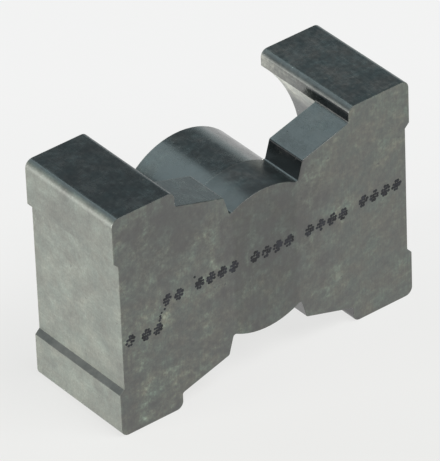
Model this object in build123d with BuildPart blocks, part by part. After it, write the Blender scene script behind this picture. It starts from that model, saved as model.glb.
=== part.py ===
from build123d import *
import math
import os

os.makedirs("parts", exist_ok=True)

# Half of a closed ferrite core, pressed along Y and sintered as one piece.
# X runs from leg to leg, Y from the back face to the mating faces, and Z is up.
# It stands on the narrow sides of its legs, and the origin is under its middle.

# Overall size, in millimetres
core_length = 20.5
core_width = 14.3
core_height = 7.6
base_thickness = 2.85

# Round post in the middle, and the thinnest part of each leg, behind the clip recess
post_diameter = 8.8
leg_wall = 1.35

# Clear way between the legs at their narrow sides, where the leads of the winding come out
leg_opening = 12.0

# Waist of the base: from each leg a shoulder leans in, and then drops steeply to an arc round the post
shoulder_drop = 0.97
shoulder_fall = 0.97
notch_width_top = 5.44
notch_width_foot = 4.7
waist_clearance = 0.2

# Shallow recess down the outside of each leg, where the arm of the spring clip lies
clip_recess_depth = 0.3
clip_band_width = 2.8

# Rounded edges
leg_outer_radius = 0.5
leg_inner_radius = 0.45
notch_radius = 0.15
root_radius = 0.15
back_edge_radius = 0.06

# How near two coordinates must be to count as the same
tolerance = 1e-6

# Sizes that follow from the ones above
half_length = core_length / 2
half_width = core_width / 2
half_opening = leg_opening / 2
post_radius = post_diameter / 2
leg_depth = core_height - base_thickness
recess_floor = half_length - clip_recess_depth
recess_top = half_width - clip_band_width
bore_radius = recess_floor - leg_wall
shoulder_start = half_width - shoulder_drop
shoulder_end = shoulder_start - shoulder_fall
waist_radius = post_radius + waist_clearance
notch_half_top = notch_width_top / 2
notch_half_foot = notch_width_foot / 2
notch_foot = math.sqrt(waist_radius**2 - notch_half_foot**2)

# Planes across the core, centred on the post, with X to the right and Z up as seen from the back
back_plane = Plane((0, -core_height / 2, half_width), x_dir=(1, 0, 0), z_dir=(0, -1, 0))
floor_plane = back_plane.offset(-base_thickness)
mating_plane = back_plane.offset(-core_height)


def corners_at(sketch, x, z):
    """The four corners of a mirrored sketch that lie x and z away from its middle."""
    return sketch.vertices().filter_by(lambda v: math.dist((abs(v.X), abs(v.Y)), (x, z)) < tolerance)


def is_arc_of(edge, radius):
    """True for a round edge of the given radius."""
    return edge.geom_type == GeomType.CIRCLE and abs(edge.radius - radius) < tolerance


# Outline of the whole core seen from the back: one quarter, mirrored both ways
with BuildSketch() as outline:
    with BuildLine():
        Polyline(
            (recess_floor, 0),
            (recess_floor, recess_top - clip_recess_depth),
            (half_length, recess_top),
            (half_length, half_width),
            (half_opening, half_width),
            (half_opening, shoulder_start),
            (notch_half_top, shoulder_end),
            (notch_half_foot, notch_foot),
        )
        RadiusArc((notch_half_foot, notch_foot), (0, waist_radius), -waist_radius)
        mirror(about=Plane.YZ)
        mirror(about=Plane.XZ)
    make_face()
    fillet(corners_at(outline, half_length, half_width), leg_outer_radius)
    fillet(corners_at(outline, half_opening, half_width), leg_inner_radius)
    fillet(
        corners_at(outline, half_opening, shoulder_start)
        + corners_at(outline, notch_half_top, shoulder_end)
        + corners_at(outline, notch_half_foot, notch_foot),
        notch_radius,
    )

with BuildPart() as core_half:
    # Base, over the whole outline
    with BuildSketch(floor_plane):
        add(outline.sketch)
    extrude(amount=base_thickness)

    # Legs: the same outline, kept beside the opening and outside the bore round the winding
    with BuildSketch(mating_plane):
        add(outline.sketch)
        Rectangle(leg_opening, core_width, mode=Mode.SUBTRACT)
        Circle(bore_radius, mode=Mode.SUBTRACT)
    extrude(amount=leg_depth)

    # Centre post
    with BuildSketch(mating_plane):
        Circle(post_radius)
    extrude(amount=leg_depth)

    # Small radius where the post and the legs rise from the base
    floor_edges = core_half.faces().filter_by(Axis.Y).group_by(Axis.Y)[1].edges()
    fillet(floor_edges.filter_by(lambda e: is_arc_of(e, post_radius) or is_arc_of(e, bore_radius)), root_radius)

    # The pressed edge round the back face is barely rounded
    fillet(core_half.faces().sort_by(Axis.Y)[0].edges(), back_edge_radius)

core_half.part.label = "core_half"
export_step(core_half.part, "parts/core_half.step")
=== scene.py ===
import math
import random

import bpy
from mathutils import Matrix, Vector


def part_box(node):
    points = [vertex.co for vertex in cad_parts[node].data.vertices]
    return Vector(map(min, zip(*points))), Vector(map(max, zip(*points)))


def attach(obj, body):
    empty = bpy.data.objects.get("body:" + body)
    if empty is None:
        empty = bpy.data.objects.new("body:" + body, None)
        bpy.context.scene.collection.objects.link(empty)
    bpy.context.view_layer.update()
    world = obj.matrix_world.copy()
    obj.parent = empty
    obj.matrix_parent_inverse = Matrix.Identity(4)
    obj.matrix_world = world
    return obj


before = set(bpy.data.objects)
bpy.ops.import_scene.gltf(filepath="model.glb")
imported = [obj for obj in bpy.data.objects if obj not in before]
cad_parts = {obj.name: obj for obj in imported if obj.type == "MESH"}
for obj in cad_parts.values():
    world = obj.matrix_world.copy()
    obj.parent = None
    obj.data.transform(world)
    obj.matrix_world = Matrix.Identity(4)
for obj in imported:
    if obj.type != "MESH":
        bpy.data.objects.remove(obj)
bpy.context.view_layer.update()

MM = 0.001

# One half of a closed ferrite core, standing on the narrow sides of its legs.
# X runs from leg to leg, Y from the back face to the ground mating faces, and Z is up.
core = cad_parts["core_half"]
core_low, core_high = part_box("core_half")
core_middle = (core_low + core_high) / 2


def linear(code):
    """A linear colour from an sRGB hex code."""
    values = [int(code[i:i + 2], 16) / 255 for i in (1, 3, 5)]
    bent = [v / 12.92 if v <= 0.04045 else ((v + 0.055) / 1.055) ** 2.4 for v in values]
    return (*bent, 1.0)


def add_node(tree, kind, settings=None, links=None):
    """Adds a shader node. settings gives its properties and unlinked sockets.

    links gives what feeds its other sockets: a socket, or a node whose first output is meant.
    """
    item = tree.nodes.new("ShaderNode" + kind)
    for key, value in (settings or {}).items():
        if isinstance(key, str) and hasattr(item, key):
            setattr(item, key, value)
        else:
            item.inputs[key].default_value = value
    for key, source in (links or {}).items():
        tree.links.new(getattr(source, "outputs", (source,))[0], item.inputs[key])
    return item


def new_material(name):
    """An empty node material, its node tree and its output node."""
    material = bpy.data.materials.new(name)
    material.use_nodes = True
    material.node_tree.nodes.clear()
    output = add_node(material.node_tree, "OutputMaterial")
    return material, material.node_tree, output


# Sizes of the ferrite's pattern. The real grain is about 0.01 mm across, and the real grinding lines are
# about as fine. Both are too fine to show in the render, so they are drawn as coarse as they need to show.
grain_size = 0.11 * MM
fleck_size = 0.34 * MM
mottle_size = 1.4 * MM
tint_size = 1.3 * MM
pore_spacing = 0.9 * MM
crumb_spacing = 1.1 * MM
streak_width = 0.1 * MM
streak_length = 2.6 * MM
wipe_length = 1.3 * MM
grinding_line_width = 0.06 * MM
grinding_line_length = 5.0 * MM
worn_edge_width = 0.14 * MM

# Where surfaces of one finish begin or end, from the middle of the core, and how softly two finishes meet
outsides_begin = 9.7 * MM
recess_ends = 4.5 * MM
inner_walls_end = 7.5 * MM
legs_begin = 5.5 * MM
waist_ends = 2.1 * MM
base_begins = -1.0 * MM
bore_radius = 8.6 * MM
fade = 0.1 * MM

# Soft lighter and darker patches, some of them painted light and shade: middle, radius, and by how many
# doublings they lighten the colour. Below zero they darken it.
light_and_dark_patches = (
    # Darker patches on the back face, a darker and a lighter one on the two leg tops, and two small darker
    # ones on the left end
    ((0.3 * MM, -3.8 * MM, 9.6 * MM), 4.0 * MM, -1.2),
    ((0.6 * MM, -3.8 * MM, 5.6 * MM), 4.8 * MM, -0.7),
    ((-6.2 * MM, -3.8 * MM, 12.4 * MM), 3.4 * MM, -1.3),
    ((-8.1 * MM, 0.5 * MM, 14.3 * MM), 6.0 * MM, -0.5),
    ((8.1 * MM, 0.0 * MM, 14.3 * MM), 6.0 * MM, 0.75),
    ((-10.1 * MM, -2.3 * MM, 6.4 * MM), 0.9 * MM, -0.4),
    ((-10.1 * MM, -2.2 * MM, 2.2 * MM), 1.1 * MM, -0.45),
    # Painted shade on the steep wall of the notch, and painted sheen on the waist arc and the base beside
    # it to the left
    ((2.5 * MM, -2.4 * MM, 11.7 * MM), 1.6 * MM, -2.0),
    ((-0.7 * MM, -2.1 * MM, 11.7 * MM), 1.6 * MM, 1.7),
    ((-4.4 * MM, -2.4 * MM, 12.9 * MM), 2.2 * MM, 1.0),
)

# Roughness of the back face, how far the mottle shifts it either way, and what each finish adds to it
back_roughness = 0.44
uneven_roughness = 0.05
outside_duller = 0.26
corner_duller = 0.16
waist_duller = 0.1
die_side_smoother = -0.2
steep_side_smoother = -0.12
hollow_side_smoother = -0.06


def core_masks(tree, where):
    """Masks that say which surface of the core is which, each from 0 to 1."""
    place, normal = where.outputs["Object"], where.outputs["Normal"]
    facing = add_node(tree, "SeparateXYZ", None, {"Vector": normal}).outputs
    spot = add_node(tree, "SeparateXYZ", None, {"Vector": place}).outputs
    height = add_node(tree, "Math", {"operation": "SUBTRACT", 1: core_middle.z}, {0: spot["Z"]})
    faces_end, faces_back, faces_up, far_out, off_middle = (
        add_node(tree, "Math", {"operation": "ABSOLUTE"}, {0: value})
        for value in (facing["X"], facing["Y"], facing["Z"], spot["X"], height)
    )
    # Below zero where a surface looks towards the middle plane, or towards the post's axis
    inwards = add_node(tree, "Math", {"operation": "MULTIPLY"}, {0: facing["X"], 1: spot["X"]})
    from_axis = add_node(
        tree, "VectorMath", {"operation": "SUBTRACT", 1: (0, 0, core_middle.z)}, {0: place}
    )
    to_axis = add_node(tree, "VectorMath", {"operation": "DOT_PRODUCT"}, {0: normal, 1: from_axis})

    # Each mask goes from 0 to 1 between two values of what it reads
    masks = {}
    for name, source, low, high in (
        ("die side", faces_back, 0.6, 0.3),
        ("narrow side", faces_up, 0.97, 0.995),
        ("turned to the end", faces_end, 0.4, 0.7),
        ("outermost", far_out, outsides_begin - fade, outsides_begin),
        ("slanted", faces_up, 0.55, 0.68),
        ("within the recess", off_middle, recess_ends + fade, recess_ends),
        ("square to the end", faces_end, 0.9, 0.96),
        ("inside of a leg", far_out, inner_walls_end + 2 * fade, inner_walls_end),
        ("mating end", spot["Y"], -1.5 * MM, 3.0 * MM),
        ("leaning a little", faces_up, 0.955, 0.93),
        ("leaning a lot", faces_up, 0.2, 0.35),
        ("leg", far_out, legs_begin - 3 * fade, legs_begin),
        ("turned to the front", facing["Y"], 0.9, 0.98),
        ("foremost", spot["Y"], core_high.y - fade, core_high.y - fade / 5),
        ("near the middle", far_out, waist_ends + 2 * fade, waist_ends),
        ("base", spot["Y"], base_begins + fade, base_begins),
        ("steep and turned in", inwards, -1.9 * MM, -2.2 * MM),
        ("hollow side", to_axis.outputs["Value"], 4 * fade - bore_radius, fade - bore_radius),
        ("near a narrow side", faces_up, 0.35, 0.55),
    ):
        masks[name] = add_node(tree, "MapRange", {"From Min": low, "From Max": high}, {"Value": source})
    for name, first, second in (
        ("outside", "turned to the end", "outermost"),
        ("slanted end", "slanted", "within the recess"),
        ("recess step", "slanted end", "outermost"),
        ("inner wall", "square to the end", "inside of a leg"),
        ("painted light on the inner wall", "inner wall", "mating end"),
        ("painted reflection on the hollow side", "hollow side", "near a narrow side"),
        ("rounded", "leaning a little", "leaning a lot"),
        ("rounded corner", "rounded", "leg"),
        ("ground", "turned to the front", "foremost"),
        ("waist", "near the middle", "base"),
    ):
        masks[name] = add_node(tree, "Math", {"operation": "MULTIPLY"}, {0: masks[first], 1: masks[second]})
    for name, opposite in (
        ("off the die's sides", "die side"),
        ("off the outsides", "outside"),
        ("off the corners", "rounded corner"),
    ):
        masks[name] = add_node(tree, "Math", {"operation": "SUBTRACT", 0: 1.0}, {1: masks[opposite]})
    return masks


def ferrite_patterns(tree, place):
    """Grain, clouds, tints, lines that are long one way and narrow the others, pores and crumbs."""
    shifted = add_node(tree, "Mapping", {"Location": (0.031, 0.017, 0.043)}, {"Vector": place})
    along_pressing, along_wiping, along_grinding = (
        add_node(tree, "Mapping", {"Scale": [1 / length for length in lengths]}, {"Vector": place})
        for lengths in (
            (streak_width, streak_length, streak_width),
            (streak_width, streak_width, wipe_length),
            (grinding_line_length, grinding_line_width, grinding_line_width),
        )
    )
    patterns = {}
    for name, source, size, detail, roughness in (
        ("grain", place, grain_size, 1.0, 0.6),
        ("flecks", place, fleck_size, 1.0, 0.5),
        ("mottle", place, mottle_size, 5.0, 0.8),
        ("tint", shifted, tint_size, 4.0, 0.75),
        ("streaks", along_pressing, 1.0, 2.0, 0.5),
        ("wiping", along_wiping, 1.0, 2.0, 0.6),
        ("grinding", along_grinding, 1.0, 3.0, 0.6),
    ):
        patterns[name] = add_node(
            tree, "TexNoise", {"Scale": 1 / size, "Detail": detail, "Roughness": roughness},
            {"Vector": source},
        )

    # Pores and crumbs: ragged specks round scattered points, where the mottle or the tint is strong
    ragged = add_node(
        tree, "MapRange", {"From Min": 0.3, "From Max": 0.7, "To Min": -0.06, "To Max": 0.1},
        {"Value": patterns["grain"]},
    )
    for name, source, spacing, widest, cloud, low, high in (
        ("pore", place, pore_spacing, 0.12, "mottle", 0.45, 0.55),
        ("crumb", shifted, crumb_spacing, 0.14, "tint", 0.48, 0.58),
    ):
        points = add_node(tree, "TexVoronoi", {"Scale": 1 / spacing}, {"Vector": source})
        distance = add_node(tree, "Math", {"operation": "ADD"}, {0: points, 1: ragged})
        speck = add_node(tree, "MapRange", {"From Min": widest, "From Max": 0.0}, {"Value": distance})
        patch = add_node(tree, "MapRange", {"From Min": low, "From Max": high}, {"Value": patterns[cloud]})
        patterns[name] = add_node(tree, "Math", {"operation": "MULTIPLY"}, {0: speck, 1: patch})
    return patterns


def lighter_and_darker(tree, place, masks, patterns):
    """How much lighter or darker each place is than its plain colour, counted in doublings."""
    # The mottle is strongest on the left, weaker on the narrow sides and the ground faces,
    # and faint on the outsides and on the steep sides that look inwards
    across = add_node(tree, "SeparateXYZ", None, {"Vector": place})
    contrast = add_node(
        tree, "MapRange", {"From Min": core_low.x, "From Max": core_high.x, "To Min": 0.44, "To Max": 0.22},
        {"Value": across},
    )
    for name, share in (
        ("outside", 0.25), ("narrow side", 0.5), ("ground", 0.4), ("steep and turned in", 0.3)
    ):
        weaker = add_node(tree, "MapRange", {"To Min": 1.0, "To Max": share}, {"Value": masks[name]})
        contrast = add_node(tree, "Math", {"operation": "MULTIPLY"}, {0: contrast, 1: weaker})
    streaked = add_node(
        tree, "Math", {"operation": "MULTIPLY_ADD", 1: -0.6}, {0: masks["outside"], 2: masks["die side"]}
    )
    doubling = None
    for name, most, share in (
        ("mottle", 5.0, contrast),
        ("grain", 0.25, None),
        ("flecks", 0.45, masks["off the outsides"]),
        ("streaks", 0.3, streaked),
        ("wiping", 0.25, masks["off the die's sides"]),
    ):
        swing = add_node(
            tree, "MapRange", {"From Min": 0.3, "From Max": 0.7, "To Min": -most, "To Max": most},
            {"Value": patterns[name]},
        )
        links = {0: swing}
        if share:
            links[1] = share
        if doubling:
            links[2] = doubling
        doubling = add_node(tree, "Math", {"operation": "MULTIPLY_ADD", 1: 1.0, 2: 0.0}, links)

    # A patch fades out between its radius and 0.3 of it, and its edge is uneven
    for centre, radius, strength in light_and_dark_patches:
        distance = add_node(tree, "VectorMath", {"operation": "DISTANCE", 1: centre}, {0: place})
        wobble = add_node(
            tree, "MapRange",
            {"From Min": 0.35, "From Max": 0.65, "To Min": -0.45 * radius, "To Max": 0.45 * radius},
            {"Value": patterns["tint"]},
        )
        uneven = add_node(tree, "Math", {"operation": "ADD"}, {0: distance.outputs["Value"], 1: wobble})
        light_or_dark_patch = add_node(
            tree, "MapRange", {"From Min": radius, "From Max": 0.3 * radius, "To Max": strength},
            {"Value": uneven},
        )
        doubling = add_node(tree, "Math", {"operation": "ADD"}, {0: doubling, 1: light_or_dark_patch})
    return doubling


def ferrite_colour(tree, place, masks, patterns):
    """Colour of every surface, tinted, mottled and stained, with pores, crumbs and worn edges on top."""
    # Colour of the back face and the floor between the legs, and over it that of each other surface. The
    # sides that the die rubbed, the narrow sides among them, are darker than the back face: partly their
    # own finish, partly painted shade for the little light that falls on them from above.
    colour = add_node(
        tree, "Mix", {"data_type": "RGBA", 6: linear("#43463f"), 7: linear("#222627")},
        {0: masks["die side"]},
    )
    for name, code in (
        # Partly painted shade: the narrow sides are darker than the back face, for the little light that
        # falls on them from above
        ("narrow side", "#2d2f31"),
        # Painted shade: the inner walls of the legs and the post's sides are painted near black, darkening
        # the recess between them
        ("inner wall", "#101214"),
        # Painted light: the inner walls are painted paler towards the mating end, where light from behind
        # reaches them
        ("painted light on the inner wall", "#555654"),
        # Painted reflection: the hollow sides are painted pale where they lean up, for the grazing gloss
        # off the pale table
        ("painted reflection on the hollow side", "#858681"),
        # Painted light: the outsides of the legs are painted paler, for the light falling on them from the
        # left
        ("outside", "#5c5f5a"),
        # Painted shade: the slanted steps of the recesses on the outsides are painted dark
        ("recess step", "#292a29"),
        ("ground", "#505254"),
    ):
        colour = add_node(
            tree, "Mix", {"data_type": "RGBA", 7: linear(code)}, {0: masks[name], 6: colour.outputs[2]}
        )

    # Warm and green-grey clouds tint it, less so on the outsides and the steep inward sides
    warm_to_green = add_node(
        tree, "MapRange", {"From Min": 0.38, "From Max": 0.62}, {"Value": patterns["tint"]}
    )
    clouds = add_node(
        tree, "Mix", {"data_type": "RGBA", 6: linear("#bfb49e"), 7: linear("#a2c2b8")}, {0: warm_to_green}
    )
    little_tinted = add_node(
        tree, "Math", {"operation": "MAXIMUM"}, {0: masks["outside"], 1: masks["steep and turned in"]}
    )
    tint_share = add_node(tree, "MapRange", {"To Min": 0.6, "To Max": 0.2}, {"Value": little_tinted})
    tinted = add_node(
        tree, "Mix", {"data_type": "RGBA", "blend_type": "OVERLAY"},
        {0: tint_share, 6: colour.outputs[2], 7: clouds.outputs[2]},
    )
    doubling = lighter_and_darker(tree, place, masks, patterns)
    shade = add_node(tree, "Math", {"operation": "POWER", 0: 2.0}, {1: doubling})
    dappled = add_node(
        tree, "VectorMath", {"operation": "SCALE"}, {"Vector": tinted.outputs[2], "Scale": shade}
    )

    # Edges worn paler: the rounded normal leaves the true one only near an edge
    rounded = add_node(tree, "Bevel", {"samples": 6, "Radius": worn_edge_width})
    true_facing = add_node(tree, "NewGeometry").outputs["Normal"]
    alike = add_node(tree, "VectorMath", {"operation": "DOT_PRODUCT"}, {0: rounded, 1: true_facing})
    edge = add_node(
        tree, "MapRange", {"From Min": 0.995, "From Max": 0.8}, {"Value": alike.outputs["Value"]}
    )
    patchy = add_node(
        tree, "MapRange", {"From Min": 0.4, "From Max": 0.6, "To Min": 0.15, "To Max": 0.7},
        {"Value": patterns["tint"]},
    )
    wear = add_node(tree, "Math", {"operation": "MULTIPLY"}, {0: edge, 1: patchy})

    top_coat = dappled.outputs[0]
    for share, code in ((patterns["pore"], "#1a1b1b"), (patterns["crumb"], "#65665f"), (wear, "#77786f")):
        top_coat = add_node(
            tree, "Mix", {"data_type": "RGBA", 7: linear(code)}, {0: share, 6: top_coat}
        ).outputs[2]
    return top_coat


def ferrite_roughness(tree, masks, patterns):
    """The die wall leaves its sides smoother, most of all the steep ones that look inwards.

    Chalk dulls the outsides and the corners, and the mottle breaks it up everywhere.
    """
    polished = add_node(
        tree, "Math", {"operation": "MULTIPLY"},
        {0: masks["steep and turned in"], 1: masks["off the corners"]},
    )
    chalky, dull_corner = (
        add_node(tree, "Math", {"operation": "MULTIPLY", 1: duller}, {0: masks[name]})
        for name, duller in (("outside", outside_duller), ("rounded corner", corner_duller))
    )
    dulled = add_node(tree, "Math", {"operation": "MAXIMUM"}, {0: chalky, 1: dull_corner})
    broken_up = add_node(
        tree, "MapRange",
        {"From Min": 0.42, "From Max": 0.58,
         "To Min": back_roughness - uneven_roughness, "To Max": back_roughness + uneven_roughness},
        {"Value": patterns["mottle"]},
    )
    roughness = add_node(tree, "Math", {"operation": "ADD"}, {0: dulled, 1: broken_up})
    for share, change in (
        (masks["die side"], die_side_smoother),
        (polished, steep_side_smoother),
        (masks["hollow side"], hollow_side_smoother),
        (masks["waist"], waist_duller),
    ):
        roughness = add_node(
            tree, "Math", {"operation": "MULTIPLY_ADD", 1: change}, {0: share, 2: roughness}
        )
    return roughness


def ferrite_bump(tree, masks, patterns):
    """Pressed grain and mottle, streaks on the die's sides, grinding lines, and shallow open pores."""
    smooth_side = add_node(
        tree, "Math", {"operation": "SUBTRACT"}, {0: masks["die side"], 1: masks["outside"]}
    )
    less_pressed = add_node(tree, "MapRange", {"To Min": 1.0, "To Max": 0.2}, {"Value": smooth_side})
    pressed_side = add_node(
        tree, "Math", {"operation": "SUBTRACT", "use_clamp": True},
        {0: less_pressed, 1: masks["hollow side"]},
    )
    normal = None
    for name, share, depth in (
        ("grain", pressed_side, 0.005 * MM),
        ("mottle", pressed_side, 0.02 * MM),
        ("streaks", masks["die side"], 0.0015 * MM),
        ("grinding", masks["ground"], 0.004 * MM),
        ("pore", None, -0.008 * MM),
    ):
        height = patterns[name]
        if share:
            height = add_node(tree, "Math", {"operation": "MULTIPLY"}, {0: height, 1: share})
        links = {"Height": height}
        if normal:
            links["Normal"] = normal
        normal = add_node(
            tree, "Bump", {"Strength": 1.0, "Distance": abs(depth), "invert": depth < 0}, links
        )
    return normal


def sintered_ferrite():
    """Sintered manganese zinc ferrite: a dense black-grey ceramic, pressed in a die, fired and ground.

    The eye sees a dull graphite sheen, darker and smoother on the sides that the die wall rubbed than on
    the back face, where painted shade darkens them further, and everywhere mottled with warm and green-grey
    clouds. The outsides of the legs are duller, painted paler for light from the left, and the steps of
    their recesses are painted dark for shade. The steep sides that look inwards are smoother still. The
    inner walls are painted near black for shade and paler towards the mating end for light, and the
    hollow sides carry a pale painted reflection at their ends. It has a fine grain and flecks, a few open
    pores, pale crumbs, faint streaks along the
    pressing direction, fine parallel grinding lines on the mating faces, and edges worn a little paler.
    """
    material, tree, output = new_material("sintered_manganese_zinc_ferrite")
    where = add_node(tree, "TexCoord")
    place = where.outputs["Object"]
    masks = core_masks(tree, where)
    patterns = ferrite_patterns(tree, place)
    surface = add_node(
        tree, "BsdfPrincipled", {"IOR": 2.1},
        {
            "Base Color": ferrite_colour(tree, place, masks, patterns),
            "Roughness": ferrite_roughness(tree, masks, patterns),
            "Normal": ferrite_bump(tree, masks, patterns),
        },
    )
    tree.links.new(surface.outputs["BSDF"], output.inputs["Surface"])
    return material


core.data.materials[0] = sintered_ferrite()

# Ink marks on the back face: dots that a jet printer throws down, here as rows of plain round blots.
# Each blot is four dots wide and four high, and leans a little.
dot_diameter = 0.2 * MM
dot_thickness = 0.009 * MM
dot_shoulder = 0.03 * MM
dot_crown = 0.003 * MM
dot_pitch = 0.155 * MM
row_pitch = 0.18 * MM
blot_pitch = 0.79 * MM
blot_lean = 0.2
blot = (".##.", "####", "####", ".##.")
# Middle of each row of blots on the back face in millimetres, and how many it has.
# The left ones slipped down.
blot_rows = (
    ((-3.4, 7.65), 4),
    ((0.45, 7.6), 4),
    ((4.25, 7.6), 4),
    ((8.05, 7.8), 4),
    ((-6.4, 7.6), 2),
    ((-7.9, 6.0), 2),
    ((-9.38, 6.1), 1),
)
# Drops that fell beside the blots, in millimetres, smaller than the rest
stray_dots = ((-7.2, 6.95), (-7.27, 6.75), (-7.3, 6.6), (-7.36, 6.5), (-4.9, 8.2), (-7.0, 7.1))
stray_size = 0.75
# The jet leaves some drops out, and the others differ in size and in place
missing_share = 0.02
size_range = (0.8, 1.12)
place_error = 0.014 * MM
ink_wear_size = 0.45 * MM
ink_wrinkle_height = 0.003 * MM


def pigment_ink():
    """Black pigment ink, jetted on and dried: thin, dull, blue-black, worn through to grey in patches."""
    material, tree, output = new_material("dried_pigment_ink")
    where = add_node(tree, "TexCoord")
    wear = add_node(
        tree, "TexNoise", {"Scale": 1 / ink_wear_size, "Detail": 3.0, "Roughness": 0.7},
        {"Vector": where.outputs["Object"]},
    )
    worn = add_node(tree, "MapRange", {"From Min": 0.4, "From Max": 0.62}, {"Value": wear})
    colour = add_node(
        tree, "Mix", {"data_type": "RGBA", 6: linear("#0c0d13"), 7: linear("#34353b")}, {0: worn}
    )
    dull = add_node(tree, "MapRange", {"To Min": 0.5, "To Max": 0.7}, {"Value": worn})
    wrinkled = add_node(tree, "Bump", {"Strength": 1.0, "Distance": ink_wrinkle_height}, {"Height": wear})
    surface = add_node(
        tree, "BsdfPrincipled", {"IOR": 1.45},
        {"Base Color": colour.outputs[2], "Roughness": dull, "Normal": wrinkled},
    )
    tree.links.new(surface.outputs["BSDF"], output.inputs["Surface"])
    return material


def dried_drop():
    """One dried drop: a thin disc with a sloping shoulder, standing up from the back face."""
    bpy.ops.object.select_all(action="DESELECT")
    bpy.ops.mesh.primitive_cylinder_add(
        vertices=12, radius=dot_diameter / 2, depth=dot_thickness, location=(0, 0, 0),
        rotation=(math.pi / 2, 0, 0),
    )
    disc = bpy.context.object
    bpy.ops.object.transform_apply(location=True, rotation=True, scale=True)
    bpy.ops.object.mode_set(mode="EDIT")
    bpy.ops.mesh.select_mode(type="FACE")
    bpy.ops.mesh.select_all(action="DESELECT")
    bpy.ops.object.mode_set(mode="OBJECT")
    for face in disc.data.polygons:
        face.select = face.normal.y < -0.5
    bpy.ops.object.mode_set(mode="EDIT")
    bpy.ops.mesh.inset(thickness=dot_shoulder, depth=dot_crown)
    bpy.ops.object.mode_set(mode="OBJECT")
    bpy.ops.object.shade_smooth_by_angle(angle=math.radians(60))
    return disc


def drop_places():
    """Where every drop was meant to land on the back face, in metres, and its size against a full one."""
    places = []
    for (middle_x, middle_z), count in blot_rows:
        for number in range(count):
            blot_x = middle_x * MM + (number - (count - 1) / 2) * blot_pitch
            for row, dots in enumerate(blot):
                rise = ((len(blot) - 1) / 2 - row) * row_pitch
                for column, dot in enumerate(dots):
                    if dot == "#":
                        x = blot_x + (column - (len(dots) - 1) / 2) * dot_pitch + rise * blot_lean
                        places.append((x, middle_z * MM + rise, 1.0))
    return places + [(x * MM, z * MM, stray_size) for x, z in stray_dots]


def ink_marks():
    """All the dots as one piece, each one a copy of the same drop, a little off its place and size."""
    chance = random.Random(11)
    drop = dried_drop()
    copies = []
    for x, z, size in drop_places():
        if chance.random() < missing_share:
            continue
        size *= chance.uniform(*size_range)
        shift_x, shift_z = chance.gauss(0, place_error), chance.gauss(0, place_error)
        copy = bpy.data.objects.new("ink_dot", drop.data.copy())
        landed = Matrix.Translation((x + shift_x, core_low.y, z + shift_z))
        copy.data.transform(landed @ Matrix.Diagonal((size, 1, size, 1)))
        bpy.context.scene.collection.objects.link(copy)
        copies.append(copy)
    bpy.data.objects.remove(drop)
    bpy.ops.object.select_all(action="DESELECT")
    for copy in copies:
        copy.select_set(True)
    bpy.context.view_layer.objects.active = copies[0]
    bpy.ops.object.join()
    marks = bpy.context.object
    marks.name = "ink_marks"
    marks.data.materials.clear()
    marks.data.materials.append(pigment_ink())
    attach(marks, "root")


ink_marks()

# Camera, found by fitting the core's edges to the photograph.
# It aims at a point in the plane of the back face, from the left and above.
aim = Vector((-3.06 * MM, core_low.y, 10.42 * MM))
camera_turn = math.radians(-37.215)
camera_rise = math.radians(35.014)
camera_roll = math.radians(-2.291)
camera_distance = 342.6 * MM
focal_pixels = 6369.0
frame_height = 461
sensor = 36.0

away = Vector((
    math.sin(camera_turn) * math.cos(camera_rise),
    -math.cos(camera_turn) * math.cos(camera_rise),
    math.sin(camera_rise),
))
level_way = (-away).cross(Vector((0, 0, 1))).normalized()
upright = level_way.cross(-away)
right = level_way * math.cos(camera_roll) + upright * math.sin(camera_roll)
up = upright * math.cos(camera_roll) - level_way * math.sin(camera_roll)
lens = bpy.data.cameras.new("camera")
lens.sensor_width = sensor
lens.lens = focal_pixels * sensor / frame_height
lens.clip_start = 10 * MM
camera = bpy.data.objects.new("camera", lens)
turned = Matrix((right, up, away)).transposed().to_4x4()
camera.matrix_world = Matrix.Translation(aim + away * camera_distance) @ turned
bpy.context.scene.collection.objects.link(camera)
bpy.context.scene.camera = camera

# Pale table, far wider than the view, a little paler at the back than at the front.
# The camera and reflections see it evenly pale, and part of its own shading keeps the core's soft shadow.
table_width = 4000 * MM
to_the_back = (0.605, 0.796, 0.0)
evenly_pale_share = 0.85

bpy.ops.object.select_all(action="DESELECT")
bpy.ops.mesh.primitive_plane_add(size=table_width, location=(0, 0, core_low.z))
floor = bpy.context.object
floor.name = "table"
table, tree, output = new_material("matt_white_table")
spot = add_node(tree, "TexCoord")
depth = add_node(
    tree, "VectorMath", {"operation": "DOT_PRODUCT", 1: to_the_back}, {0: spot.outputs["Object"]}
)
far_share = add_node(
    tree, "MapRange", {"From Min": -20 * MM, "From Max": 26 * MM}, {"Value": depth.outputs["Value"]}
)
pale_colour = add_node(
    tree, "Mix", {"data_type": "RGBA", 6: linear("#ebebe9"), 7: linear("#f5f5f5")}, {0: far_share}
)
pale = add_node(tree, "Emission", {"Strength": 1.0}, {"Color": pale_colour.outputs[2]})
shaded = add_node(tree, "BsdfDiffuse", {"Color": linear("#f2f2f0")})
ray = add_node(tree, "LightPath").outputs
camera_share = add_node(
    tree, "Math", {"operation": "MULTIPLY", 1: evenly_pale_share}, {0: ray["Is Camera Ray"]}
)
pale_share = add_node(tree, "Math", {"operation": "MAXIMUM"}, {0: camera_share, 1: ray["Is Glossy Ray"]})
mixed = add_node(tree, "MixShader", None, {0: pale_share, 1: shaded, 2: pale})
tree.links.new(mixed.outputs[0], output.inputs["Surface"])
table.cycles.emission_sampling = "NONE"
floor.data.materials.append(table)

# The room: plain and even for the core's own colour, dim in reflections above a pale low backdrop
backdrop_foot = math.sin(math.radians(-1))
backdrop_top = math.sin(math.radians(6))

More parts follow.
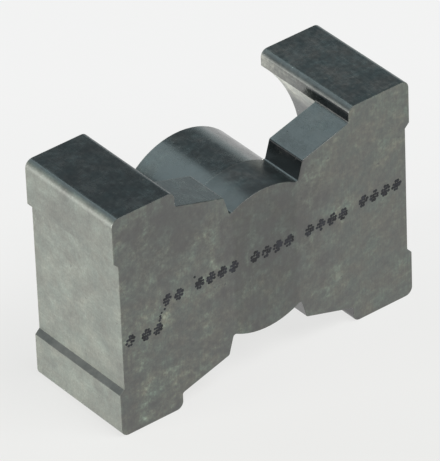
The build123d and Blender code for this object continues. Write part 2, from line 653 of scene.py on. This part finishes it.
world = bpy.data.worlds.new("room")
bpy.context.scene.world = world
world.use_nodes = True
world.cycles.sampling_method = "NONE"
tree = world.node_tree
tree.nodes.clear()
ray = add_node(tree, "LightPath").outputs
way = add_node(tree, "TexCoord")
height = add_node(tree, "SeparateXYZ", None, {"Vector": way.outputs["Generated"]})
backdrop_share = add_node(
    tree, "MapRange",
    {"From Min": backdrop_foot, "From Max": backdrop_top, "To Min": 1.0, "To Max": 0.0,
     "interpolation_type": "SMOOTHSTEP"},
    {"Value": height.outputs["Z"]},
)
room = add_node(tree, "Background", {"Color": linear("#e6e9ec"), "Strength": 0.15})
dim_room = add_node(tree, "Background", {"Color": linear("#505a5e"), "Strength": 1.9})
backdrop = add_node(tree, "Background", {"Color": linear("#efefed"), "Strength": 1.0})
reflected = add_node(tree, "MixShader", None, {0: backdrop_share, 1: dim_room, 2: backdrop})
lit = add_node(tree, "MixShader", None, {0: ray["Is Glossy Ray"], 1: room, 2: reflected})
seen = add_node(tree, "MixShader", None, {0: ray["Is Camera Ray"], 1: lit, 2: backdrop})
add_node(tree, "OutputWorld", None, {"Surface": seen})


def add_softbox(name, azimuth, elevation, distance, width, height, brightness, colour):
    """A soft lamp that faces the core.

    azimuth runs from +X towards +Y, in degrees. Lengths are in metres, and brightness 1 is white.
    """
    data = bpy.data.lights.new(name, "AREA")
    data.shape = "RECTANGLE"
    data.size = width
    data.size_y = height
    data.energy = brightness * math.pi * width * height
    data.color = linear(colour)[:3]
    lamp = bpy.data.objects.new(name, data)
    turn, rise = math.radians(azimuth), math.radians(elevation)
    way = Vector((math.cos(rise) * math.cos(turn), math.cos(rise) * math.sin(turn), math.sin(rise)))
    lamp.location = core_middle + way * distance
    lamp.rotation_euler = way.to_track_quat("Z", "Y").to_euler()
    lamp.visible_camera = False
    bpy.context.scene.collection.objects.link(lamp)


add_softbox("rear_softbox", 106, 50, 0.5, 0.4, 0.24, 1.0, "#e4fbff")
add_softbox("right_rear_softbox", 40, 6, 0.5, 0.26, 0.14, 0.5, "#f0ffff")
add_softbox("left_strip", 166, 5, 0.4, 0.12, 0.06, 82.0, "#fdfff6")
add_softbox("front_softbox", 292, 58, 0.5, 0.3, 0.3, 7.0, "#ffffff")

bpy.context.scene.view_settings.view_transform = "Standard"
